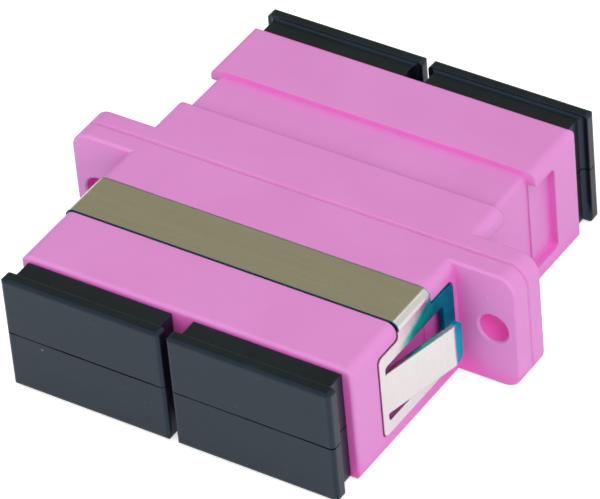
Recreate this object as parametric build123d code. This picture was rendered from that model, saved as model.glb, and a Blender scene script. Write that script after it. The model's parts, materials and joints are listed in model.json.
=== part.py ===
"""Duplex fibre optic adapter with flange, panel clip and dust caps.

Millimetres, +Z up. X is the width, Y the fibre axis with the clip half towards -Y.
The origin is the middle of the flange seam, at the height of the flat bottom.
"""
import os

from build123d import *

# Housing half: a port shell with half of the flange
port_wall = 0.9
side_wall = 1.95
half_length = 14.0
body_edge_r = 0.7
mouth_edge_r = 0.3
ear_reach = 4.6
flange_half = 1.55
ear_corner_r = 1.4
ear_edge = 0.15
seam_chamfer = 0.15
hole_to_end = 1.9
hole_d = 2.2
hole_edge = 0.12

# Plug ports, the keyway in each floor, and the seat that traps the inner latches
port_pitch = 12.7
port_width = 9.1
port_height = 7.45
port_corner_r = 0.4
port_lead_in = 0.25
key_width = 2.6
key_depth = 0.6
key_length = 9.0
seat_depth = 1.2
seat_step_x = 0.5
seat_step_z = 0.32

# Peg and socket that line up the two halves before they are welded
peg_inset = 0.25
peg_d = 1.5
peg_length = 0.9
peg_edge = 0.2
peg_clearance = 0.05

# Clip groove over the top and down both sides, and the side pockets for the clip plates
groove_front = 8.69
groove_rear = 4.6
groove_depth = 0.45
groove_side_depth = 0.7
groove_corner_r = 0.35
pocket_front = 11.1
pocket_rear = 1.95
pocket_bottom = 1.4
pocket_top_rim = 1.2
pocket_depth = 0.58
pocket_corner_r = 0.4
pocket_mouth_r = 0.3

# Panel clip, folded from one sheet
sheet = 0.4
clip_proud = 0.12
clip_lift = 0.06
clip_bend_r = 0.2
clip_gap = 0.08
clip_corner_r = 0.42
clip_notch_r = 0.3
window_front_bar = 0.6
window_rear_bar = 1.28
window_top_bar = 1.05
window_bottom_bar = 0.95
window_corner_r = 0.28
slot_height = 0.62
tongue_out_deg = 12.9
tongue_length = 6.1
tongue_bend_r = 0.5
tip_in_deg = 6.0
tip_length = 0.95
tip_corner_r = 0.8

# Split alignment sleeve and the holder around it
sleeve_bore_d = 2.5
sleeve_wall = 0.35
sleeve_length = 11.4
sleeve_slit = 0.4
sleeve_edge = 0.12
holder_clearance = 0.05
holder_end_gap = 0.1
holder_wall = 0.65
holder_lip = 0.45
holder_lip_bore_d = 2.9

# Inner latch: seat plate and two hook arms beside the sleeve holder
latch_play = 0.1
latch_seam_gap = 0.02
arm_gap = 0.2
arm_thick = 0.9
arm_height = 3.8
arm_setback = 4.3
arm_root_r = 0.4
hook_depth = 0.5
hook_run = 1.4
hook_ramp = 1.0
hook_land = 0.25

# Dust cap: finger plate, neck, hollow shank and the boss that covers the sleeve
cap_side_inset = 0.1
cap_pair_gap = 0.5
cap_height_inset = 0.1
cap_plate = 0.85
cap_corner_r = 0.35
cap_rim_r = 0.3
neck_length = 1.62
neck_inset_x = 0.6
neck_inset_z = 0.27
neck_root_x = 0.4
neck_root_z = 0.25
neck_face_gap = 0.08
shank_play = 0.15
shank_reach = 3.9
shank_wall = 0.75
shank_corner_r = 0.35
cap_front_wall = 1.3
boss_d = 5.0
boss_bore_d = 3.5
boss_tube_gap = 0.3
crush_rib_width = 0.6
crush_rib_height = 0.08
crush_rib_spacing = 4.6
crush_rib_run_out = 0.4
mould_line_width = 0.12
mould_line_depth = 0.05

# Sizes that follow from the ones above
body_width = port_pitch + port_width + 2 * side_wall
body_height = port_height + 2 * port_wall
mid_height = body_height / 2
body_side = body_width / 2
flange_width = body_width + 2 * ear_reach
hole_x = flange_width / 2 - hole_to_end
peg_x = body_side - peg_inset
port_x = port_pitch / 2
groove_side = body_side - groove_side_depth
groove_floor = body_height - groove_depth
pocket_floor = body_side - pocket_depth
pocket_top = body_height - pocket_top_rim
clip_side = body_side + clip_proud
clip_top = groove_floor + clip_lift + sheet
sleeve_r = sleeve_bore_d / 2 + sleeve_wall
holder_bore_r = sleeve_r + holder_clearance
holder_r = holder_bore_r + holder_wall
holder_step = sleeve_length / 2 + holder_end_gap
holder_reach = holder_step + holder_lip
arm_reach = half_length - arm_setback
hook_back = arm_reach - hook_run
spare = 2.0
touch = 0.001


def along_y(profile, y_low, y_high):
    """Prism of a width and height profile between two places on the fibre axis."""
    return extrude(Plane.XZ.offset(-y_high) * profile, y_high - y_low)


def across_x(profile, x_low, x_high):
    """Prism of a side view profile (Y across, Z up) between two widths."""
    return extrude(Plane.YZ.offset(x_low) * profile, x_high - x_low)


def up_z(profile, z_low, z_high):
    """Prism of a plan profile between two heights."""
    return extrude(Pos(0, 0, z_low) * profile, z_high - z_low)


def span(low_a, high_a, low_b, high_b, corner_r=0.0):
    """Rectangle given by its edges, with rounded corners where a radius is given."""
    width = high_a - low_a
    height = high_b - low_b
    place = Pos((low_a + high_a) / 2, (low_b + high_b) / 2)
    if corner_r > 0:
        return place * RectangleRounded(width, height, corner_r)
    return place * Rectangle(width, height)


def eased_block(x_span, y_span, z_span, corner_r, front_r):
    """Block along the fibre axis with round long edges and a smaller round at its front face."""
    front_view = along_y(span(*x_span, *z_span, corner_r), *y_span)
    side = span(*y_span, *z_span)
    side_view = across_x(fillet(side.vertices().group_by(Axis.X)[0], front_r), *x_span)
    plan = span(*x_span, *y_span)
    plan_view = up_z(fillet(plan.vertices().group_by(Axis.Y)[0], front_r), *z_span)
    return front_view & side_view & plan_view


def flared(width_span, y_root, y_end, root_r):
    """Plan of a neck that widens with a hollow round into the plate in front of it."""
    low, high = width_span
    y_foot = y_root - cap_plate / 2
    y_neck = y_root + root_r
    foot = Polyline(
        (low - root_r, y_root),
        (low - root_r, y_foot),
        (high + root_r, y_foot),
        (high + root_r, y_root),
    )
    neck = Polyline((high, y_neck), (high, y_end), (low, y_end), (low, y_neck))
    right_hollow = CenterArc((high + root_r, y_neck), root_r, 180, 90)
    left_hollow = CenterArc((low - root_r, y_neck), root_r, 270, 90)
    return make_face(foot.edges() + right_hollow.edges() + neck.edges() + left_hollow.edges())


def edges_at_y(solid, y):
    """Edges that lie wholly in the plane across the fibre axis at y."""
    return solid.edges().filter_by_position(Axis.Y, y - touch, y + touch)


def both_sides(solid):
    """A solid on the +X side with its mirror image on the -X side."""
    return [solid, mirror(solid, Plane.YZ)]


def port_profile(grow_x=0.0, grow_z=0.0, corner_r=port_corner_r):
    """Section of one plug port about the port's axis, grown or shrunk on every side."""
    half_width = port_width / 2 + grow_x
    half_height = port_height / 2 + grow_z
    return span(-half_width, half_width, -half_height, half_height, corner_r)


def port_cut(x):
    """Space of one port: lead-in, plug cavity, keyway and the seat for the latches."""
    centre = Pos(x, mid_height)
    cavity = along_y(centre * port_profile(), -half_length, -seat_depth / 2)
    mouth = Plane.XZ.offset(half_length) * centre
    lead_in = extrude(
        mouth * port_profile(port_lead_in, port_lead_in, 0), -port_lead_in, taper=45
    )
    seat = along_y(centre * port_profile(seat_step_x, seat_step_z, 0), -seat_depth, spare)
    key_floor = mid_height - port_height / 2 - key_depth
    keyway = along_y(
        span(x - key_width / 2, x + key_width / 2, key_floor, mid_height),
        -half_length - spare,
        key_length - half_length,
    )
    return cavity + lead_in + seat + keyway


def groove_cut():
    """Groove for the clip strip across the top, with a round shoulder at each side."""
    outside = span(-body_width, body_width, groove_floor - groove_corner_r, body_height + spare)
    core = span(-groove_side, groove_side, -spare, groove_floor, groove_corner_r)
    return along_y(outside - core, -groove_front, -groove_rear)


def pocket_cut():
    """Side pocket on +X for one side plate, open upwards where the clip strip passes."""
    pocket = span(-pocket_front, -pocket_rear, pocket_bottom, pocket_top, pocket_corner_r)
    passage = span(-groove_front, -groove_rear, pocket_bottom, body_height + spare)
    outline = pocket + passage
    mouth = [
        corner
        for corner in outline.vertices()
        if abs(corner.Y - pocket_top) < touch and -groove_front - touch < corner.X < touch - groove_rear
    ]
    shallow = across_x(fillet(mouth, pocket_mouth_r), pocket_floor, body_width)
    return shallow + across_x(passage, groove_side, body_width)


def housing_half():
    """Front housing half: one moulding, open at its ports and at the seam."""
    shell = eased_block(
        (-body_side, body_side),
        (-half_length, -flange_half / 2),
        (0, body_height),
        body_edge_r,
        mouth_edge_r,
    )
    outline = Pos(0, mid_height) * RectangleRounded(flange_width, body_height, ear_corner_r)
    flange = along_y(outline, -flange_half, 0)
    flange = chamfer(edges_at_y(flange, -flange_half), ear_edge)
    flange = chamfer(edges_at_y(flange, 0), seam_chamfer)
    half = shell + flange
    half -= groove_cut()
    half -= both_sides(pocket_cut())
    for x in (-port_x, port_x):
        half -= port_cut(x)
    for x in (-hole_x, hole_x):
        half -= flange_hole(x)
    half += locating_peg()
    socket = Pos(-peg_x, mid_height) * Circle(peg_d / 2 + peg_clearance)
    return half - along_y(socket, -peg_length - 2 * peg_clearance, spare)


def flange_hole(x):
    """Plain screw hole through one ear with its edge broken on the outer face."""
    centre = Pos(x, mid_height)
    hole = along_y(centre * Circle(hole_d / 2), -flange_half, spare)
    flare = Plane.XZ.offset(flange_half) * centre * Circle(hole_d / 2 + hole_edge)
    return hole + extrude(flare, -hole_edge, taper=45)


def locating_peg():
    """Peg that stands from the seam on +X, with its end edge broken."""
    peg = along_y(Pos(peg_x, mid_height) * Circle(peg_d / 2), -flange_half / 2, peg_length)
    return chamfer(edges_at_y(peg, peg_length), peg_edge)


def clip_blank():
    """Folded strip: top and two legs, bent round the housing with an even sheet thickness."""
    outer = span(-clip_side, clip_side, -spare, clip_top, clip_bend_r + sheet)
    inner = span(-clip_side + sheet, clip_side - sheet, -2 * spare, clip_top - sheet, clip_bend_r)
    low_end = span(-body_width, body_width, -3 * spare, pocket_bottom + clip_gap)
    y_front = clip_gap - pocket_front
    y_rear = -pocket_rear - clip_gap
    return along_y(outer - inner - low_end, y_front, y_rear)


def clip_outline_cuts():
    """What is punched from the blank beside the strip and at the plates' corners."""
    plate_top = pocket_top - clip_gap
    strip_front = clip_gap - groove_front
    strip_rear = -groove_rear - clip_gap
    far = pocket_front + spare
    high = clip_top + spare
    front = span(-far, strip_front, plate_top, high, clip_notch_r)
    rear = span(strip_rear, far, plate_top, high, clip_notch_r)
    return across_x(front + rear, -body_width, body_width)


def clip_window():
    """Window in one side plate, down to the slots above and below the tongue."""
    y_front = clip_gap - pocket_front + window_front_bar
    y_rear = -pocket_rear - clip_gap - window_rear_bar
    z_low = pocket_bottom + clip_gap + window_bottom_bar
    z_high = pocket_top - clip_gap - window_top_bar
    return span(y_front, y_rear, z_low, z_high, window_corner_r)


def tongue_heights():
    """Lower and upper edge of the tongue, one slot inside the window."""
    z_low = pocket_bottom + clip_gap + window_bottom_bar + slot_height
    z_high = pocket_top - clip_gap - window_top_bar - slot_height
    return z_low, z_high


def clip_tongue():
    """Sprung tongue on +X: bent out from the front bar, its tip bent back in."""
    z_low, z_high = tongue_heights()
    x_mid = clip_side - sheet / 2
    y_root = clip_gap - pocket_front + window_front_bar
    start = Vector(x_mid, y_root - window_front_bar / 2)
    bend = Vector(x_mid, y_root + tongue_bend_r / 2)
    knee = bend + Vector(0, tongue_length).rotate(Axis.Z, -tongue_out_deg)
    tip = knee + Vector(0, tip_length).rotate(Axis.Z, tip_in_deg)
    path = FilletPolyline(start, bend, knee, tip, radius=tongue_bend_r)
    ribbon = extrude(Pos(0, 0, z_low) * trace(path, sheet), z_high - z_low)
    side_view = span(-pocket_front, tip.Y + sheet / 4, z_low, z_high, tip_corner_r)
    root = span(-pocket_front, knee.Y, z_low, z_high)
    return ribbon & across_x(side_view + root, 0, body_width)


def plate_corners(clip):
    """Outer corners of both side plates, where the pocket's corners are round."""
    across = clip.edges().filter_by(Axis.X)
    ends = across.group_by(Axis.Y)
    return ends[0] + ends[-1]


def panel_clip():
    """One-piece spring clip: strip, two side plates and their tongues."""
    clip = clip_blank() - clip_outline_cuts()
    clip = fillet(plate_corners(clip), clip_corner_r)
    clip -= both_sides(across_x(clip_window(), groove_side, body_width))
    return clip + both_sides(clip_tongue())


def hook_arm():
    """Hook arm on +X: springy arm with an inward hook, ramped towards the mouth."""
    outer = port_width / 2 - arm_gap
    inner = outer - arm_thick
    tip = inner - hook_depth
    outline = Polyline(
        (outer, -latch_seam_gap),
        (outer, hook_land - arm_reach),
        (outer - hook_land, -arm_reach),
        (inner, -arm_reach),
        (tip, hook_ramp - arm_reach),
        (tip, -hook_back - hook_land),
        (inner, -hook_back),
        (inner, -latch_seam_gap),
        close=True,
    )
    return extrude(Pos(0, 0, -arm_height / 2) * make_face(outline), arm_height)


def arm_roots(body):
    """Upright corners where the inner faces of the arms rise from the seat plate."""
    inner = port_width / 2 - arm_gap - arm_thick
    upright = edges_at_y(body, latch_play - seat_depth).filter_by(Axis.Z)
    return [edge for edge in upright if abs(abs(edge.center().X) - inner) < touch]


def latch():
    """Front inner latch about the port's axis: seat plate, holder tube and two hook arms."""
    plate = along_y(
        port_profile(seat_step_x - latch_play, seat_step_z - latch_play, 0),
        latch_play - seat_depth,
        -latch_seam_gap,
    )
    holder = along_y(Circle(holder_r), -holder_reach, -latch_seam_gap)
    body = plate + holder + both_sides(hook_arm())
    body = fillet(arm_roots(body), arm_root_r)
    body -= along_y(Circle(holder_bore_r), -holder_step, spare)
    body -= along_y(Circle(holder_lip_bore_d / 2), -holder_reach - spare, 0)
    return body


def alignment_sleeve():
    """Split sleeve about the port's axis, slit along its top."""
    ring = along_y(Circle(sleeve_r), -sleeve_length / 2, sleeve_length / 2)
    ring = chamfer(edges_at_y(ring, -sleeve_length / 2), sleeve_edge)
    ring = chamfer(edges_at_y(ring, sleeve_length / 2), sleeve_edge)
    ring -= along_y(Circle(sleeve_bore_d / 2), -sleeve_length, sleeve_length)
    slit = span(-sleeve_slit / 2, sleeve_slit / 2, 0, sleeve_bore_d)
    return ring - along_y(slit, -sleeve_length, sleeve_length)


def mould_line(y_face):
    """Fine witness line of the mould's split across a cap's front face."""
    line = Polyline(
        (y_face, mid_height - mould_line_width / 2),
        (y_face + mould_line_depth, mid_height),
        (y_face, mid_height + mould_line_width / 2),
        close=True,
    )
    return across_x(make_face(line), 0, body_side)


def cap_head():
    """Finger plate and neck of the right-hand front cap, in the part's own frame."""
    x_low = cap_pair_gap / 2
    x_high = body_side - cap_side_inset
    z_low = cap_height_inset
    z_high = body_height - cap_height_inset
    y_back = -half_length - neck_face_gap
    y_rim = y_back - neck_length
    y_face = y_rim - cap_plate
    plate = eased_block((x_low, x_high), (y_face, y_rim), (z_low, z_high), cap_corner_r, cap_rim_r)
    neck_x = (x_low + neck_inset_x, x_high - neck_inset_x)
    neck_z = (z_low + neck_inset_z, z_high - neck_inset_z)
    plan_view = up_z(flared(neck_x, y_rim, y_back, neck_root_x), z_low, z_high)
    side = mirror(Rot(0, 0, 90) * flared(neck_z, y_rim, y_back, neck_root_z), Plane.YZ)
    side_view = across_x(side, x_low, x_high)
    front_view = along_y(span(x_low, x_high, z_low, z_high, cap_corner_r), y_face, y_back)
    return plate - mould_line(y_face) + (plan_view & side_view & front_view)


def crush_ribs():
    """Low ribs on the top and bottom of the shank that hold the cap in its port."""
    top = port_height / 2 - shank_play
    y_front = -half_length + crush_rib_run_out
    y_end = -half_length + shank_reach - crush_rib_run_out
    ridge = Polyline(
        (-crush_rib_width / 2, -crush_rib_height),
        (crush_rib_width / 2, -crush_rib_height),
        (0, crush_rib_height),
        close=True,
    )
    ribs = []
    for x in (-crush_rib_spacing / 2, crush_rib_spacing / 2):
        for turn in (0, 180):
            section = Rot(0, 0, turn) * Pos(0, top) * make_face(ridge)
            ribs.append(along_y(Pos(x, 0) * section, y_front, y_end))
    return ribs


def dust_cap():
    """Front right dust cap: head, hollow shank in the port and boss before the sleeve."""
    at_port = Pos(port_x, 0, mid_height)
    y_face = -half_length - neck_face_gap - neck_length - cap_plate
    y_back = -half_length - neck_face_gap
    y_end = -half_length + shank_reach
    y_boss = -holder_reach - boss_tube_gap
    shank = along_y(
        port_profile(-shank_play, -shank_play, shank_corner_r), y_back - neck_length / 2, y_end
    )
    inset = shank_play + shank_wall
    hollow = along_y(port_profile(-inset, -inset, 0), y_face + cap_front_wall, y_end + spare)
    boss = along_y(Circle(boss_d / 2), y_face + cap_front_wall - cap_plate / 2, y_boss)
    bore = along_y(Circle(boss_bore_d / 2), y_face + cap_front_wall, y_boss + spare)
    cap = cap_head() + at_port * shank + [at_port * rib for rib in crush_ribs()]
    cap -= at_port * hollow
    cap += at_port * boss
    return cap - at_port * bore


def turned(solid):
    """The same piece turned half a turn about Z, for the rear half."""
    return Rot(0, 0, 180) * solid


def build_nodes():
    """Every piece by its node name."""
    half = housing_half()
    inner_latch = latch()
    sleeve = alignment_sleeve()
    right_cap = dust_cap()
    left_cap = mirror(right_cap, Plane.YZ)
    nodes = {
        "housing_front": half,
        "housing_rear": turned(half),
        "panel_clip": panel_clip(),
        "dust_cap_front_left": left_cap,
        "dust_cap_front_right": right_cap,
        "dust_cap_rear_left": turned(right_cap),
        "dust_cap_rear_right": turned(left_cap),
    }
    for side, x in (("left", -port_x), ("right", port_x)):
        at_port = Pos(x, 0, mid_height)
        nodes[f"latch_front_{side}"] = at_port * inner_latch
        nodes[f"latch_rear_{side}"] = at_port * turned(inner_latch)
        nodes[f"alignment_sleeve_{side}"] = at_port * sleeve
    return nodes


def write_parts():
    """One STEP file for each node."""
    os.makedirs("parts", exist_ok=True)
    for name, solid in build_nodes().items():
        export_step(solid, f"parts/{name}.step")


write_parts()
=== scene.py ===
"""Looks, light and camera for the duplex fibre optic adapter. Metres, in the part's own frame."""

import json
import math

import bmesh
import bpy
from mathutils import Matrix, Vector


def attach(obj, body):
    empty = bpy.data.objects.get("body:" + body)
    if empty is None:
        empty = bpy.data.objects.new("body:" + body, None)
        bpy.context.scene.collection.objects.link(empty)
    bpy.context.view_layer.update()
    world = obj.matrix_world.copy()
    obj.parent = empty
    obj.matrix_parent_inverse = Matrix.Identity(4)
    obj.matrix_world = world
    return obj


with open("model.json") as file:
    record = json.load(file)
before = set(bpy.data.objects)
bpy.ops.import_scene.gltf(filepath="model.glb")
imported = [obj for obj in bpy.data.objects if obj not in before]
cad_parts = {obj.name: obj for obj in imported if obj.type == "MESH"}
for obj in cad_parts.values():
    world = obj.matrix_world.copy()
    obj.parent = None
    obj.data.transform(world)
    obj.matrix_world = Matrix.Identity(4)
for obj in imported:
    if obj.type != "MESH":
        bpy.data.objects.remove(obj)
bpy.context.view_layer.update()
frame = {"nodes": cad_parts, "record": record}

MM = 0.001

# Sizes taken over from the part, in millimetres
FLANGE_WIDTH = 34.9
BODY_HEIGHT = 9.25
EAR_CORNER_R = 1.4
MID_HEIGHT = BODY_HEIGHT / 2
TONGUE_KNEE_Y = -4.22
STRIP_FRONT_Y = -8.61
STRIP_REAR_Y = -4.68

# Weld bead in the seam, in millimetres: it lies inside the seam's groove, and swells and wanders
BEAD_INSET = 0.095
BEAD_RADIUS = 0.08
BEAD_SWELL = 0.01
BEAD_WANDER = 0.012
BEAD_LONGEST_RUN = 0.35

# Sides of the bead's section, its steps round a corner, and its waves in radians per step
BEAD_SIDES = 6
BEAD_CORNER_STEPS = 8
SWELL_QUICK_WAVE = 1.7
SWELL_SLOW_WAVE = 0.37
SWELL_START = 0.6
WANDER_WAVE = 0.53

# Ejector pins of one quarter of the underside, in millimetres; the others mirror them
PIN_PLACES = ((2.6, 12.4), (10.6, 12.4), (2.6, 3.4), (10.6, 3.4))
PIN_RADIUS = 1.1
PIN_RING_FADE = (0.06, 0.02)
UNDERSIDE_Z = (0.1, 0.05)

# Dark line across a cap's face, in millimetres: how far it wanders, and its fade from the middle
SPLIT_LINE_WANDER = 0.06
SPLIT_LINE_FADE = (0.085, 0.045)

# Where the clip gets its painted blue-green reflection, in millimetres; pairs are the two ends of a fade
TEAL_REFLECTION_SIDE_X = (12.35, 12.55)
TONGUE_TIP_X = (12.95, 13.05)
REAR_TEAL_REFLECTION_Y = (TONGUE_KNEE_Y - 0.05, TONGUE_KNEE_Y + 0.2)
BEND_TEAL_REFLECTION_TOP_Z = 8.35
BEND_TEAL_REFLECTION_FOOT_Z = (6.5, 6.8)
BEND_TEAL_REFLECTION_START_Y = -6.6
BEND_TEAL_REFLECTION_SLOPE = 0.42
BEND_TEAL_REFLECTION_FADE = (0.05, 0.75)
STRIP_TOP_Z = (8.5, 8.7)
FRONT_LINE_FADE = (0.13, 0.05)
REAR_LINE_FADE = (0.1, 0.04)

# Colours as linear red, green, blue and alpha
WHITE = (1.0, 1.0, 1.0, 1.0)

VIOLET_LOW = (0.71, 0.25, 0.62, 1.0)
VIOLET_HIGH = (0.735, 0.27, 0.65, 1.0)
VIOLET_PIGMENT = (0.56, 0.15, 0.47, 1.0)
# Painted shade: deeper, redder violet in roots and recesses, where less light falls
VIOLET_PAINTED_ROOT_SHADE = (0.78, 0.17, 0.58, 1.0)
VIOLET_PAINTED_RECESS_SHADE = (1.0, 0.15, 0.68, 1.0)
# Paler edges: handling wear, and a painted highlight where the rounded edges catch light
VIOLET_WORN_EDGE_AND_HIGHLIGHT = (0.8, 0.42, 0.74, 1.0)
VIOLET_PIN_RING = (0.5, 0.14, 0.42, 1.0)
VIOLET_DUST = (0.85, 0.8, 0.85, 1.0)

BLACK_LOW = (0.0015, 0.006, 0.009, 1.0)
BLACK_HIGH = (0.004, 0.009, 0.013, 1.0)
BLACK_WORN_EDGE = (0.045, 0.05, 0.06, 1.0)
BLACK_SCUFF = (0.055, 0.06, 0.072, 1.0)
BLACK_DUST = (0.3, 0.31, 0.33, 1.0)
BLACK_SPLIT_LINE = (0.0, 0.001, 0.0015, 1.0)
BLACK_SHEEN = (0.58, 0.75, 1.0, 1.0)

STEEL_LOW = (0.735, 0.725, 0.7, 1.0)
STEEL_HIGH = (0.79, 0.782, 0.76, 1.0)
STEEL_MOTTLE = (0.82, 0.815, 0.8, 1.0)
STEEL_SCUFF = (0.88, 0.88, 0.87, 1.0)
# Painted blue-green reflection on the clip, and the painted shade and highlight lines at the strip's
# edges
TEAL_REFLECTION_LOW = (0.0, 0.3, 0.25, 1.0)
TEAL_REFLECTION_HIGH = (0.0, 0.5, 0.42, 1.0)
TEAL_REFLECTION_TIP = (0.0, 0.95, 0.78, 1.0)
# Painted shade line at the strip's front edge, painted highlight line at its rear edge
TEAL_FRONT_EDGE_SHADE = (0.0, 0.11, 0.12, 1.0)
TEAL_REAR_EDGE_HIGHLIGHT = (0.3, 0.62, 0.68, 1.0)
TEAL_REFLECTION_SHEEN = (0.62, 1.0, 1.0, 1.0)

LATCH_LOW = (0.7, 0.69, 0.65, 1.0)
LATCH_HIGH = (0.78, 0.775, 0.74, 1.0)
LATCH_WORN_EDGE = (0.84, 0.84, 0.82, 1.0)

CERAMIC_LOW = (0.8, 0.78, 0.73, 1.0)
CERAMIC_HIGH = (0.86, 0.85, 0.81, 1.0)

PAPER_LOW = (0.8, 0.8, 0.8, 1.0)
PAPER_HIGH = (0.82, 0.82, 0.82, 1.0)
DIM_SIDE_COLOUR = (0.4, 0.375, 0.24, 1.0)

# Side of the room that the flat top of the clip mirrors to the camera, and the cosines of the
# angles from it between which the room dims
DIM_SIDE = (-0.459, 0.629, 0.628)
DIM_SIDE_FADE = (0.68, 0.92)
ROOM_STRENGTH = 0.78

# Glow of the floor where the camera sees it, and where shiny surfaces mirror it
FLOOR_GLOW_SEEN = 0.6
FLOOR_GLOW_MIRRORED = 0.3
FLOOR_HALF_SIZE = 3.0
FLOOR_Z = -0.02 * MM

# Soft boxes: name, place, width and height in metres, watts, and if shiny surfaces mirror it
LIGHTS_AIM = (0.0, 0.0, 0.004)
SOFT_BOXES = (
    ("key_soft_box", (0.64, -0.34, 0.64), 1.2, 1.2, 4.9, False),
    ("fill_soft_box", (-0.25, -0.88, 0.35), 1.2, 0.7, 2.1, False),
    ("bend_soft_box", (0.1, 0.6, 0.78), 0.3, 0.25, 0.15, True),
)

# Camera that was fitted to the photograph's edges: its place in millimetres, and its turn as the
# axis of one rotation times the angle in radians
CAMERA_PLACE = (167.58, -229.47, 233.64)
CAMERA_TURN = (2.1989, 0.6008, -0.3867)
FOCAL_PIXELS = 5489.7
CENTRE_PIXEL = (310.13, 251.6)
PICTURE_SIZE = (600, 499)
SENSOR_MM = 36.0
NEAREST_SEEN = 0.01
FARTHEST_SEEN = 20.0


def new_group(name):
    """An empty finish group."""
    return bpy.data.node_groups.new(name, "ShaderNodeTree")


def add_input(group, name, default, low, high):
    """One named number that a finish group takes."""
    socket = group.interface.new_socket(name=name, in_out="INPUT", socket_type="NodeSocketFloat")
    socket.default_value = default
    socket.min_value = low
    socket.max_value = high


def add_output(group, name, kind="NodeSocketFloat"):
    """One named result of a finish group."""
    group.interface.new_socket(name=name, in_out="OUTPUT", socket_type=kind)


def group_ends(group):
    """The node that holds a group's inputs and the one that takes its results."""
    return add_node(group, "NodeGroupInput"), add_node(group, "NodeGroupOutput")


def add_node(tree, kind, **settings):
    """A node with its settings."""
    node = tree.nodes.new(kind)
    for key, value in settings.items():
        setattr(node, key, value)
    return node


def join(tree, source, target):
    """Link two sockets."""
    tree.links.new(source, target)


def calc(tree, operation, *values, clamp=False):
    """A maths step on sockets or plain numbers."""
    node = add_node(tree, "ShaderNodeMath", operation=operation, use_clamp=clamp)
    for socket, value in zip(node.inputs, values):
        if isinstance(value, (int, float)):
            socket.default_value = value
        else:
            join(tree, value, socket)
    return node.outputs["Value"]


def total(tree, first, second):
    """The sum of two values."""
    return calc(tree, "ADD", first, second)


def less(tree, first, second):
    """The first value less the second."""
    return calc(tree, "SUBTRACT", first, second)


def product(tree, first, second):
    """Two values multiplied."""
    return calc(tree, "MULTIPLY", first, second)


def larger(tree, first, second):
    """The larger of two values."""
    return calc(tree, "MAXIMUM", first, second)


def off_zero(tree, value):
    """How far a value is from zero, either way."""
    return calc(tree, "ABSOLUTE", value)


def away_from(tree, value, middle):
    """How far a value is from a middle one, either way."""
    return off_zero(tree, less(tree, value, middle))


def ramp_between(tree, value, low, high, to_low=0.0, to_high=1.0):
    """A smooth step of a value from one level to another."""
    node = add_node(tree, "ShaderNodeMapRange", interpolation_type="SMOOTHSTEP")
    join(tree, value, node.inputs["Value"])
    node.inputs["From Min"].default_value = low
    node.inputs["From Max"].default_value = high
    node.inputs["To Min"].default_value = to_low
    node.inputs["To Max"].default_value = to_high
    return node.outputs["Result"]


def blend_colour(tree, factor, first, second):
    """Two colours mixed by a factor; each may be a socket or a plain colour."""
    node = add_node(tree, "ShaderNodeMix", data_type="RGBA")
    for socket, value in ((node.inputs[0], factor), (node.inputs[6], first), (node.inputs[7], second)):
        if isinstance(value, bpy.types.NodeSocket):
            join(tree, value, socket)
        else:
            socket.default_value = value
    return node.outputs[2]


def noise(tree, place, scale, detail=2.0, roughness=0.5, distortion=0.0):
    """A cloudy pattern; the scale, in patches per metre, may be a socket or a plain number."""
    node = add_node(tree, "ShaderNodeTexNoise")
    join(tree, place, node.inputs["Vector"])
    if isinstance(scale, bpy.types.NodeSocket):
        join(tree, scale, node.inputs["Scale"])
    else:
        node.inputs["Scale"].default_value = scale
    node.inputs["Detail"].default_value = detail
    node.inputs["Roughness"].default_value = roughness
    node.inputs["Distortion"].default_value = distortion
    return node.outputs["Fac"]


def object_place(tree):
    """The surface's place in the part's own frame."""
    return add_node(tree, "ShaderNodeTexCoord").outputs["Object"]


def stretched(tree, place, scale, turn=(0.0, 0.0, 0.0)):
    """A place turned, then squeezed or stretched along the three axes."""
    node = add_node(tree, "ShaderNodeMapping")
    join(tree, place, node.inputs["Vector"])
    node.inputs["Rotation"].default_value = turn
    node.inputs["Scale"].default_value = scale
    return node.outputs["Vector"]


def millimetres(tree):
    """The X, Y and Z of the surface's place in the part's own frame, in millimetres."""
    node = add_node(tree, "ShaderNodeSeparateXYZ")
    join(tree, stretched(tree, object_place(tree), (1 / MM, 1 / MM, 1 / MM)), node.inputs["Vector"])
    return node.outputs["X"], node.outputs["Y"], node.outputs["Z"]


def make_edge_group():
    """Mask of the outer edges, broken up as handling wears them, and a normal with the edges eased; on
    the housing the mask also lays a painted highlight.
    """
    group = new_group("eased_edges")
    add_input(group, "Width", 0.0002, 0.0, 0.01)
    add_input(group, "Break Up Scale", 900.0, 0.0, 100000.0)
    add_output(group, "Edge")
    add_output(group, "Normal", "NodeSocketVector")
    ends, out = group_ends(group)
    bevel = add_node(group, "ShaderNodeBevel", samples=6)
    join(group, ends.outputs["Width"], bevel.inputs["Radius"])
    true_face = add_node(group, "ShaderNodeNewGeometry").outputs["Normal"]
    facing = add_node(group, "ShaderNodeVectorMath", operation="DOT_PRODUCT")
    join(group, bevel.outputs["Normal"], facing.inputs[0])
    join(group, true_face, facing.inputs[1])
    turned_away = ramp_between(group, facing.outputs["Value"], 0.999, 0.93)
    patches = noise(group, object_place(group), ends.outputs["Break Up Scale"], detail=3.0)
    uneven = ramp_between(group, patches, 0.32, 0.62, 0.35, 1.0)
    join(group, product(group, turned_away, uneven), out.inputs["Edge"])
    join(group, bevel.outputs["Normal"], out.inputs["Normal"])
    return group


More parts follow.
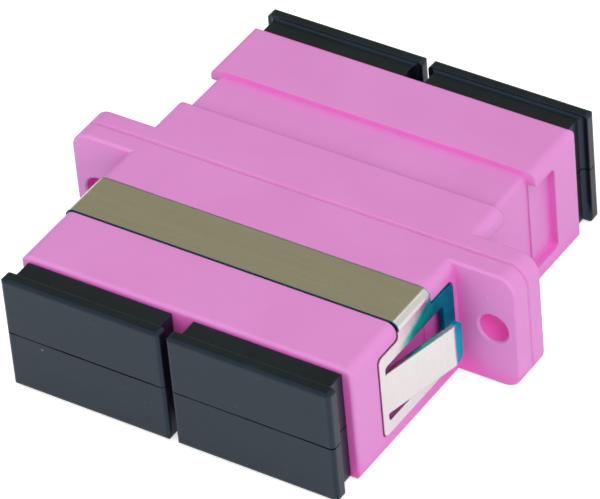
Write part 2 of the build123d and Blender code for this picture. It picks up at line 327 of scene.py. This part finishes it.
def make_grain_group():
    """Spark-eroded mould texture: fine pits, a soft cloud of shade and slow waves of the wall."""
    group = new_group("mould_grain")
    add_input(group, "Grain Scale", 9000.0, 0.0, 1000000.0)
    add_input(group, "Cloud Scale", 260.0, 0.0, 100000.0)
    add_output(group, "Height")
    add_output(group, "Cloud")
    add_output(group, "Sink")
    ends, out = group_ends(group)
    place = object_place(group)
    grain_scale = ends.outputs["Grain Scale"]
    pits = add_node(group, "ShaderNodeTexVoronoi", feature="SMOOTH_F1")
    join(group, place, pits.inputs["Vector"])
    join(group, grain_scale, pits.inputs["Scale"])
    pits.inputs["Smoothness"].default_value = 0.9
    frost = noise(group, place, product(group, grain_scale, 0.45), detail=4.0)
    height = total(group, product(group, pits.outputs["Distance"], 0.55), frost)
    cloud = noise(group, place, ends.outputs["Cloud Scale"], detail=3.0, distortion=0.4)
    join(group, height, out.inputs["Height"])
    join(group, cloud, out.inputs["Cloud"])
    join(group, noise(group, place, scale=110.0, detail=1.0), out.inputs["Sink"])
    return group


def make_scuff_group():
    """Hairline scuffs in two directions and stray specks of dust."""
    group = new_group("scuffs_and_dust")
    add_input(group, "Scuff Amount", 0.5, 0.0, 1.0)
    add_input(group, "Dust Amount", 0.5, 0.0, 1.0)
    add_output(group, "Scuff")
    add_output(group, "Dust")
    ends, out = group_ends(group)
    place = object_place(group)
    scuff_runs = (((260.0, 5200.0, 5200.0), 0.35), ((4800.0, 300.0, 2100.0), -0.6))
    runs = []
    for scale, turn in scuff_runs:
        drawn_out = stretched(group, place, scale, turn=(turn, turn * 0.6, turn))
        hair = noise(group, drawn_out, scale=1.0, detail=1.0)
        runs.append(ramp_between(group, hair, 0.7, 0.78))
    lines = larger(group, *runs)
    handled = ramp_between(group, noise(group, place, scale=420.0), 0.45, 0.65)
    scuffs = product(group, product(group, lines, handled), ends.outputs["Scuff Amount"])
    specks = add_node(group, "ShaderNodeTexVoronoi", feature="F1")
    join(group, place, specks.inputs["Vector"])
    specks.inputs["Scale"].default_value = 520.0
    specks.inputs["Randomness"].default_value = 1.0
    dots = ramp_between(group, specks.outputs["Distance"], 0.055, 0.03)
    chosen = add_node(group, "ShaderNodeSeparateColor")
    join(group, specks.outputs["Color"], chosen.inputs["Color"])
    rare = calc(group, "GREATER_THAN", chosen.outputs["Red"], 0.8)
    dust = product(group, product(group, dots, rare), ends.outputs["Dust Amount"])
    join(group, scuffs, out.inputs["Scuff"])
    join(group, dust, out.inputs["Dust"])
    return group


def make_painted_shade_group():
    """Mask of roots, slots and holes from ambient occlusion, for the painted shade that deepens the
    colour there.
    """
    group = new_group("painted_shade_corners")
    add_input(group, "Reach", 0.002, 0.0, 0.1)
    add_input(group, "Uneven Scale", 500.0, 0.0, 100000.0)
    add_output(group, "Shelter")
    ends, out = group_ends(group)
    open_sky = add_node(group, "ShaderNodeAmbientOcclusion", samples=12)
    join(group, ends.outputs["Reach"], open_sky.inputs["Distance"])
    patches = noise(group, object_place(group), ends.outputs["Uneven Scale"])
    uneven = ramp_between(group, patches, 0.3, 0.7, 0.85, 1.0)
    closed = calc(group, "SUBTRACT", 1.0, open_sky.outputs["AO"], clamp=True)
    join(group, product(group, closed, uneven), out.inputs["Shelter"])
    return group


def make_marks_group():
    """Round marks that the mould's ejector pins leave on the underside, eight on each half."""
    group = new_group("mould_marks")
    add_input(group, "Ring Radius", PIN_RADIUS, 0.0, 100.0)
    add_output(group, "Ring")
    ends, out = group_ends(group)
    x, y, z = millimetres(group)
    beside = off_zero(group, x)
    ahead = off_zero(group, y)
    rings = None
    for pin_x, pin_y in PIN_PLACES:
        across = less(group, beside, pin_x)
        along = less(group, ahead, pin_y)
        square = total(group, product(group, across, across), product(group, along, along))
        rim = away_from(group, calc(group, "SQRT", square), ends.outputs["Ring Radius"])
        ring = ramp_between(group, rim, *PIN_RING_FADE)
        rings = ring if rings is None else larger(group, rings, ring)
    underside = ramp_between(group, z, *UNDERSIDE_Z)
    join(group, product(group, rings, underside), out.inputs["Ring"])
    return group


EASED_EDGES = make_edge_group()
MOULD_GRAIN = make_grain_group()
SCUFFS_AND_DUST = make_scuff_group()
PAINTED_SHADE_CORNERS = make_painted_shade_group()
MOULD_MARKS = make_marks_group()


def place_group(tree, group, **values):
    """A finish group placed in a material with its own values; its results, by their names."""
    node = add_node(tree, "ShaderNodeGroup", node_tree=group)
    for name, value in values.items():
        node.inputs[name.replace("_", " ")].default_value = value
    return node.outputs


def new_finish(name):
    """A material with its Principled shader, and its node tree."""
    material = bpy.data.materials.new(name)
    material.use_nodes = True
    tree = material.node_tree
    shader = next(node for node in tree.nodes if node.type == "BSDF_PRINCIPLED")
    return material, tree, shader


def raise_surface(tree, shader, height, distance, normal):
    """Bump of a height pattern on top of the eased normal."""
    bump = add_node(tree, "ShaderNodeBump")
    bump.inputs["Strength"].default_value = 1.0
    bump.inputs["Distance"].default_value = distance
    join(tree, height, bump.inputs["Height"])
    join(tree, normal, bump.inputs["Normal"])
    join(tree, bump.outputs["Normal"], shader.inputs["Normal"])


def violet_housing():
    """Violet moulded plastic, satin faces, paler edges from handling wear with a painted highlight, and
    painted shade that deepens the colour in its recesses.
    """
    material, tree, shader = new_finish("violet_moulded_housing")
    grain = place_group(tree, MOULD_GRAIN, Grain_Scale=7500.0, Cloud_Scale=150.0)
    edges = place_group(tree, EASED_EDGES, Width=0.16 * MM, Break_Up_Scale=700.0)
    marks = place_group(tree, SCUFFS_AND_DUST, Scuff_Amount=0.3, Dust_Amount=0.25)
    occlusion = place_group(tree, PAINTED_SHADE_CORNERS, Reach=3.0 * MM, Uneven_Scale=400.0)
    pins = place_group(tree, MOULD_MARKS, Ring_Radius=PIN_RADIUS)

    cloud = ramp_between(tree, grain["Cloud"], 0.25, 0.75)
    colour = blend_colour(tree, cloud, VIOLET_LOW, VIOLET_HIGH)
    specks = noise(tree, object_place(tree), scale=15000.0, detail=1.0)
    colour = blend_colour(tree, ramp_between(tree, specks, 0.6, 0.8, 0.0, 0.08), colour, VIOLET_PIGMENT)
    # Painted shade: the colour deepens in roots and recesses by how closed in they are
    root_shade = ramp_between(tree, occlusion["Shelter"], 0.2, 0.42)
    colour = blend_colour(tree, root_shade, colour, VIOLET_PAINTED_ROOT_SHADE)
    recess_shade = ramp_between(tree, occlusion["Shelter"], 0.42, 0.66)
    colour = blend_colour(tree, recess_shade, colour, VIOLET_PAINTED_RECESS_SHADE)
    # Paler edges: handling wear and a painted highlight
    colour = blend_colour(tree, product(tree, edges["Edge"], 0.3), colour, VIOLET_WORN_EDGE_AND_HIGHLIGHT)
    colour = blend_colour(tree, product(tree, pins["Ring"], 0.3), colour, VIOLET_PIN_RING)
    colour = blend_colour(tree, marks["Dust"], colour, VIOLET_DUST)
    join(tree, colour, shader.inputs["Base Color"])

    rough = ramp_between(tree, grain["Cloud"], 0.3, 0.7, 0.42, 0.5)
    rough = less(tree, rough, product(tree, edges["Edge"], 0.08))
    rough = total(tree, rough, product(tree, marks["Scuff"], 0.15))
    join(tree, rough, shader.inputs["Roughness"])
    shader.inputs["Specular IOR Level"].default_value = 0.4

    height = product(tree, grain["Height"], 0.3)
    height = total(tree, height, product(tree, grain["Sink"], 0.6))
    height = less(tree, height, product(tree, marks["Scuff"], 0.3))
    height = less(tree, height, pins["Ring"])
    raise_surface(tree, shader, height, distance=0.012 * MM, normal=edges["Normal"])
    return material


def split_line(tree):
    """Uneven dark line that the mould's split leaves across the middle of a cap's face."""
    z = millimetres(tree)[2]
    wavy = less(tree, noise(tree, object_place(tree), scale=600.0), 0.5)
    wander = product(tree, wavy, SPLIT_LINE_WANDER)
    away = away_from(tree, total(tree, z, wander), MID_HEIGHT)
    patches = noise(tree, object_place(tree), scale=260.0, detail=1.0)
    faded = ramp_between(tree, patches, 0.35, 0.6, 0.55, 1.0)
    return product(tree, ramp_between(tree, away, *SPLIT_LINE_FADE), faded)


def black_cap():
    """Soft black plastic: a fine bluish skin, hairline scuffs, pale specks and slightly greyer rims."""
    material, tree, shader = new_finish("soft_black_cap")
    grain = place_group(tree, MOULD_GRAIN, Grain_Scale=6500.0, Cloud_Scale=420.0)
    edges = place_group(tree, EASED_EDGES, Width=0.12 * MM, Break_Up_Scale=1100.0)
    marks = place_group(tree, SCUFFS_AND_DUST, Scuff_Amount=0.6, Dust_Amount=0.5)

    cloud = ramp_between(tree, grain["Cloud"], 0.3, 0.7)
    colour = blend_colour(tree, cloud, BLACK_LOW, BLACK_HIGH)
    colour = blend_colour(tree, product(tree, edges["Edge"], 0.22), colour, BLACK_WORN_EDGE)
    colour = blend_colour(tree, product(tree, marks["Scuff"], 0.45), colour, BLACK_SCUFF)
    colour = blend_colour(tree, marks["Dust"], colour, BLACK_DUST)
    line = split_line(tree)
    colour = blend_colour(tree, line, colour, BLACK_SPLIT_LINE)
    join(tree, colour, shader.inputs["Base Color"])

    rough = ramp_between(tree, grain["Cloud"], 0.25, 0.75, 0.28, 0.36)
    rough = total(tree, rough, product(tree, marks["Scuff"], 0.12))
    rough = less(tree, rough, product(tree, edges["Edge"], 0.06))
    join(tree, rough, shader.inputs["Roughness"])
    gloss = ramp_between(tree, line, 0.0, 1.0, 0.56, 0.05)
    join(tree, gloss, shader.inputs["Specular IOR Level"])
    shader.inputs["Specular Tint"].default_value = BLACK_SHEEN

    height = total(tree, product(tree, grain["Height"], 0.45), grain["Sink"])
    height = less(tree, height, product(tree, marks["Scuff"], 0.5))
    raise_surface(tree, shader, height, distance=0.014 * MM, normal=edges["Normal"])
    return material


def clip_teal_reflection(tree):
    """Masks of the painted blue-green reflection: on the side plates, on the tongue's tip beyond them,
    and of the painted shade and highlight lines along the strip's front and rear edges."""
    x, y, z = millimetres(tree)
    beside = off_zero(tree, x)
    on_side = ramp_between(tree, beside, *TEAL_REFLECTION_SIDE_X)
    on_tip = ramp_between(tree, beside, *TONGUE_TIP_X)
    uneven = less(tree, noise(tree, object_place(tree), scale=1400.0, detail=3.0), 0.5)
    along = total(tree, y, product(tree, uneven, 0.5))
    rear = ramp_between(tree, along, *REAR_TEAL_REFLECTION_Y)
    below = calc(tree, "MINIMUM", less(tree, BEND_TEAL_REFLECTION_TOP_Z, z), 1.0)
    behind = less(tree, along, BEND_TEAL_REFLECTION_START_Y)
    slope = total(tree, product(tree, behind, BEND_TEAL_REFLECTION_SLOPE), below)
    raised = ramp_between(tree, z, *BEND_TEAL_REFLECTION_FOOT_Z)
    bend = product(tree, ramp_between(tree, slope, *BEND_TEAL_REFLECTION_FADE), raised)
    teal_reflection = product(tree, larger(tree, rear, bend), on_side)
    on_top = ramp_between(tree, z, *STRIP_TOP_Z)
    # Bands for the painted shade at the strip's front edge and the painted highlight at its rear edge
    front_edge_shade = ramp_between(tree, away_from(tree, y, STRIP_FRONT_Y), *FRONT_LINE_FADE)
    rear_edge_highlight = ramp_between(tree, away_from(tree, y, STRIP_REAR_Y), *REAR_LINE_FADE)
    return teal_reflection, on_tip, product(tree, front_edge_shade, on_top), product(tree, rear_edge_highlight, on_top)


def spring_steel():
    """Plated spring steel: faint rolling grain, bright worn bends and patches of painted blue-green
    reflection.
    """
    material, tree, shader = new_finish("plated_spring_steel")
    place = object_place(tree)
    edges = place_group(tree, EASED_EDGES, Width=0.1 * MM, Break_Up_Scale=600.0)
    marks = place_group(tree, SCUFFS_AND_DUST, Scuff_Amount=0.4, Dust_Amount=0.15)
    rolled = stretched(tree, place, (160.0, 16000.0, 160.0))
    lines = noise(tree, rolled, scale=1.0, detail=4.0, roughness=0.6)
    broad = noise(tree, stretched(tree, place, (60.0, 1500.0, 60.0)), scale=1.0)
    mottle = noise(tree, place, scale=900.0, detail=4.0, roughness=0.6)
    teal_reflection, on_tip, front_edge_shade, rear_edge_highlight = clip_teal_reflection(tree)

    colour = blend_colour(tree, ramp_between(tree, lines, 0.25, 0.75), STEEL_LOW, STEEL_HIGH)
    colour = blend_colour(tree, ramp_between(tree, mottle, 0.35, 0.7, 0.0, 0.25), colour, STEEL_MOTTLE)
    colour = blend_colour(tree, product(tree, marks["Scuff"], 0.4), colour, STEEL_SCUFF)
    # Painted reflection: blue-green patches on the side plates, brightest on the tongue's tip
    tint = blend_colour(tree, ramp_between(tree, mottle, 0.35, 0.65), TEAL_REFLECTION_LOW, TEAL_REFLECTION_HIGH)
    tint = blend_colour(tree, on_tip, tint, TEAL_REFLECTION_TIP)
    colour = blend_colour(tree, teal_reflection, colour, tint)
    # Painted shade line along the strip's front edge, painted highlight line along its rear edge
    colour = blend_colour(tree, front_edge_shade, colour, TEAL_FRONT_EDGE_SHADE)
    colour = blend_colour(tree, rear_edge_highlight, colour, TEAL_REAR_EDGE_HIGHLIGHT)
    join(tree, colour, shader.inputs["Base Color"])
    join(tree, blend_colour(tree, teal_reflection, WHITE, TEAL_REFLECTION_SHEEN), shader.inputs["Specular Tint"])
    shader.inputs["Metallic"].default_value = 1.0

    rough = ramp_between(tree, lines, 0.3, 0.75, 0.2, 0.27)
    rough = total(tree, rough, ramp_between(tree, broad, 0.3, 0.7, -0.02, 0.04))
    rough = total(tree, rough, product(tree, teal_reflection, 0.12))
    join(tree, rough, shader.inputs["Roughness"])

    height = total(tree, product(tree, lines, 0.4), product(tree, mottle, 0.3))
    height = less(tree, height, product(tree, marks["Scuff"], 0.6))
    raise_surface(tree, shader, height, distance=0.003 * MM, normal=edges["Normal"])
    return material


def natural_latch():
    """Natural, milky white moulded plastic of the inner latches."""
    material, tree, shader = new_finish("natural_moulded_latch")
    grain = place_group(tree, MOULD_GRAIN, Grain_Scale=8000.0, Cloud_Scale=500.0)
    edges = place_group(tree, EASED_EDGES, Width=0.1 * MM, Break_Up_Scale=1500.0)

    cloud = ramp_between(tree, grain["Cloud"], 0.3, 0.7)
    colour = blend_colour(tree, cloud, LATCH_LOW, LATCH_HIGH)
    colour = blend_colour(tree, product(tree, edges["Edge"], 0.4), colour, LATCH_WORN_EDGE)
    join(tree, colour, shader.inputs["Base Color"])

    rough = ramp_between(tree, grain["Cloud"], 0.3, 0.7, 0.32, 0.42)
    join(tree, rough, shader.inputs["Roughness"])

    height = total(tree, product(tree, grain["Height"], 0.3), grain["Sink"])
    raise_surface(tree, shader, height, distance=0.008 * MM, normal=edges["Normal"])
    return material


def ceramic_sleeve():
    """Ground and polished white ceramic with faint grinding rings."""
    material, tree, shader = new_finish("ground_white_ceramic")
    place = object_place(tree)
    edges = place_group(tree, EASED_EDGES, Width=0.06 * MM, Break_Up_Scale=2000.0)
    rings = noise(tree, stretched(tree, place, (40.0, 30000.0, 40.0)), scale=1.0, detail=3.0)
    cloud = ramp_between(tree, noise(tree, place, scale=700.0), 0.3, 0.7)
    join(tree, blend_colour(tree, cloud, CERAMIC_LOW, CERAMIC_HIGH), shader.inputs["Base Color"])
    join(tree, ramp_between(tree, rings, 0.3, 0.7, 0.1, 0.2), shader.inputs["Roughness"])
    shader.inputs["IOR"].default_value = 2.1
    raise_surface(tree, shader, rings, distance=0.001 * MM, normal=edges["Normal"])
    return material


def dress_nodes():
    """Give every node of the part its finish."""
    finishes = {
        "housing": violet_housing(),
        "clip_steel": spring_steel(),
        "cap": black_cap(),
        "latch": natural_latch(),
        "sleeve_ceramic": ceramic_sleeve(),
    }
    for row in frame["record"]["subparts"]:
        piece = frame["nodes"][row["node"]]
        piece.data.materials.clear()
        piece.data.materials.append(finishes[row["material_slot"]])
    return finishes


def rounded_outline(width, height, corner_r, steps):
    """Points round a rectangle with round corners, centred on the origin."""
    points = []
    for quarter, (sign_x, sign_z) in enumerate(((1, 1), (-1, 1), (-1, -1), (1, -1))):
        centre_x = sign_x * (width / 2 - corner_r)
        centre_z = sign_z * (height / 2 - corner_r)
        for step in range(steps + 1):
            angle = (quarter + step / steps) * math.pi / 2
            points.append((centre_x + corner_r * math.cos(angle), centre_z + corner_r * math.sin(angle)))
    return points


def divided(points, longest):
    """The same closed outline with its long runs cut into shorter ones."""
    out = []
    for (x_1, z_1), (x_2, z_2) in zip(points, points[1:] + points[:1]):
        parts = max(1, math.ceil(math.hypot(x_2 - x_1, z_2 - z_1) / longest))
        for part in range(parts):
            share = part / parts
            out.append((x_1 + (x_2 - x_1) * share, z_1 + (z_2 - z_1) * share))
    return out


def linked(name, mesh):
    """A built mesh turned into an object of the scene."""
    data = bpy.data.meshes.new(name)
    mesh.to_mesh(data)
    mesh.free()
    piece = bpy.data.objects.new(name, data)
    bpy.context.scene.collection.objects.link(piece)
    return piece


def weld_bead(finish):
    """Thin uneven bead that the weld pressed into the seam round the flange."""
    width = FLANGE_WIDTH - 2 * BEAD_INSET
    height = BODY_HEIGHT - 2 * BEAD_INSET
    outline = rounded_outline(width, height, EAR_CORNER_R - BEAD_INSET, BEAD_CORNER_STEPS)
    outline = divided(outline, BEAD_LONGEST_RUN)
    mesh = bmesh.new()
    rings = []
    for index, (x, z) in enumerate(outline):
        after = outline[(index + 1) % len(outline)]
        before = outline[index - 1]
        along = Vector((after[0] - before[0], 0, after[1] - before[1])).normalized()
        outwards = Vector((along.z, 0, -along.x))
        slow = math.sin(index * SWELL_SLOW_WAVE + SWELL_START)
        radius = BEAD_RADIUS + BEAD_SWELL * math.sin(index * SWELL_QUICK_WAVE) * slow
        shift = BEAD_WANDER * math.sin(index * WANDER_WAVE)
        ring = []
        for side in range(BEAD_SIDES):
            angle = 2 * math.pi * side / BEAD_SIDES
            place = Vector((x, shift, z + MID_HEIGHT))
            place += outwards * radius * math.cos(angle) + Vector((0, radius * math.sin(angle), 0))
            ring.append(mesh.verts.new(place * MM))
        rings.append(ring)
    for ring, after in zip(rings, rings[1:] + rings[:1]):
        for side in range(BEAD_SIDES):
            beside = (side + 1) % BEAD_SIDES
            mesh.faces.new((ring[side], ring[beside], after[beside], after[side]))
    bmesh.ops.recalc_face_normals(mesh, faces=mesh.faces)
    bead = linked("seam_weld_bead", mesh)
    bead.data.materials.append(finish)
    for polygon in bead.data.polygons:
        polygon.use_smooth = True
    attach(bead, "adapter")


def pale_floor():
    """Plain pale floor that the camera sees as white, with the part's soft shadow on it."""
    mesh = bmesh.new()
    size = FLOOR_HALF_SIZE
    corners = ((-size, -size), (size, -size), (size, size), (-size, size))
    mesh.faces.new([mesh.verts.new((x, y, FLOOR_Z)) for x, y in corners])
    floor = linked("pale_floor", mesh)
    material = bpy.data.materials.new("pale_floor_paper")
    material.use_nodes = True
    tree = material.node_tree
    tree.nodes.clear()
    out = add_node(tree, "ShaderNodeOutputMaterial")
    paper = add_node(tree, "ShaderNodeBsdfDiffuse")
    tooth = noise(tree, object_place(tree), scale=900.0)
    join(tree, blend_colour(tree, tooth, PAPER_LOW, PAPER_HIGH), paper.inputs["Color"])
    glow = add_node(tree, "ShaderNodeEmission")
    glow.inputs["Color"].default_value = WHITE
    rays = add_node(tree, "ShaderNodeLightPath").outputs
    seen = product(tree, rays["Is Camera Ray"], FLOOR_GLOW_SEEN)
    mirrored = product(tree, rays["Is Glossy Ray"], FLOOR_GLOW_MIRRORED)
    join(tree, larger(tree, seen, mirrored), glow.inputs["Strength"])
    both = add_node(tree, "ShaderNodeAddShader")
    join(tree, paper.outputs["BSDF"], both.inputs[0])
    join(tree, glow.outputs["Emission"], both.inputs[1])
    join(tree, both.outputs["Shader"], out.inputs["Surface"])
    floor.data.materials.append(material)


def surrounding_light():
    """Even studio light with one dim warm side, and white where the camera looks past the floor."""
    world = bpy.data.worlds.new("studio")
    world.use_nodes = True
    tree = world.node_tree
    tree.nodes.clear()
    out = add_node(tree, "ShaderNodeOutputWorld")
    towards = add_node(tree, "ShaderNodeVectorMath", operation="DOT_PRODUCT")
    join(tree, add_node(tree, "ShaderNodeTexCoord").outputs["Generated"], towards.inputs[0])
    towards.inputs[1].default_value = DIM_SIDE
    dimmer = ramp_between(tree, towards.outputs["Value"], *DIM_SIDE_FADE)
    room = add_node(tree, "ShaderNodeBackground")
    join(tree, blend_colour(tree, dimmer, WHITE, DIM_SIDE_COLOUR), room.inputs["Color"])
    room.inputs["Strength"].default_value = ROOM_STRENGTH
    backdrop = add_node(tree, "ShaderNodeBackground")
    backdrop.inputs["Color"].default_value = WHITE
    backdrop.inputs["Strength"].default_value = 1.0
    mixed = add_node(tree, "ShaderNodeMixShader")
    rays = add_node(tree, "ShaderNodeLightPath")
    join(tree, rays.outputs["Is Camera Ray"], mixed.inputs["Fac"])
    join(tree, room.outputs["Background"], mixed.inputs[1])
    join(tree, backdrop.outputs["Background"], mixed.inputs[2])
    join(tree, mixed.outputs["Shader"], out.inputs["Surface"])
    bpy.context.scene.world = world


def studio_lights():
    """A soft key from the right, a fill from the front and a small box behind for the clip's bends."""
    for name, place, width, height, watts, mirrored in SOFT_BOXES:
        data = bpy.data.lights.new(name, "AREA")
        data.shape = "RECTANGLE"
        data.size = width
        data.size_y = height
        data.energy = watts
        lamp = bpy.data.objects.new(name, data)
        lamp.location = place
        aim = Vector(LIGHTS_AIM) - Vector(place)
        lamp.rotation_euler = aim.to_track_quat("-Z", "Y").to_euler()
        lamp.visible_glossy = mirrored
        bpy.context.scene.collection.objects.link(lamp)


def photo_camera():
    """Camera at the photograph's angle and distance."""
    turn = Vector(CAMERA_TURN)
    view = Matrix.Rotation(turn.length, 3, turn.normalized())
    right, down, forward = view[0], view[1], view[2]
    axes = Matrix((right, -down, -forward)).transposed()
    data = bpy.data.cameras.new("photo_camera")
    data.sensor_fit = "HORIZONTAL"
    data.sensor_width = SENSOR_MM
    data.lens = SENSOR_MM * FOCAL_PIXELS / PICTURE_SIZE[0]
    data.shift_x = (PICTURE_SIZE[0] / 2 - CENTRE_PIXEL[0]) / PICTURE_SIZE[0]
    data.shift_y = (CENTRE_PIXEL[1] - PICTURE_SIZE[1] / 2) / PICTURE_SIZE[0]
    data.clip_start = NEAREST_SEEN
    data.clip_end = FARTHEST_SEEN
    camera = bpy.data.objects.new("photo_camera", data)
    camera.matrix_world = Matrix.Translation(Vector(CAMERA_PLACE) * MM) @ axes.to_4x4()
    bpy.context.scene.collection.objects.link(camera)
    bpy.context.scene.camera = camera


photo_camera()
finishes = dress_nodes()
weld_bead(finishes["housing"])
pale_floor()
surrounding_light()
studio_lights()
bpy.context.scene.view_settings.view_transform = "Standard"
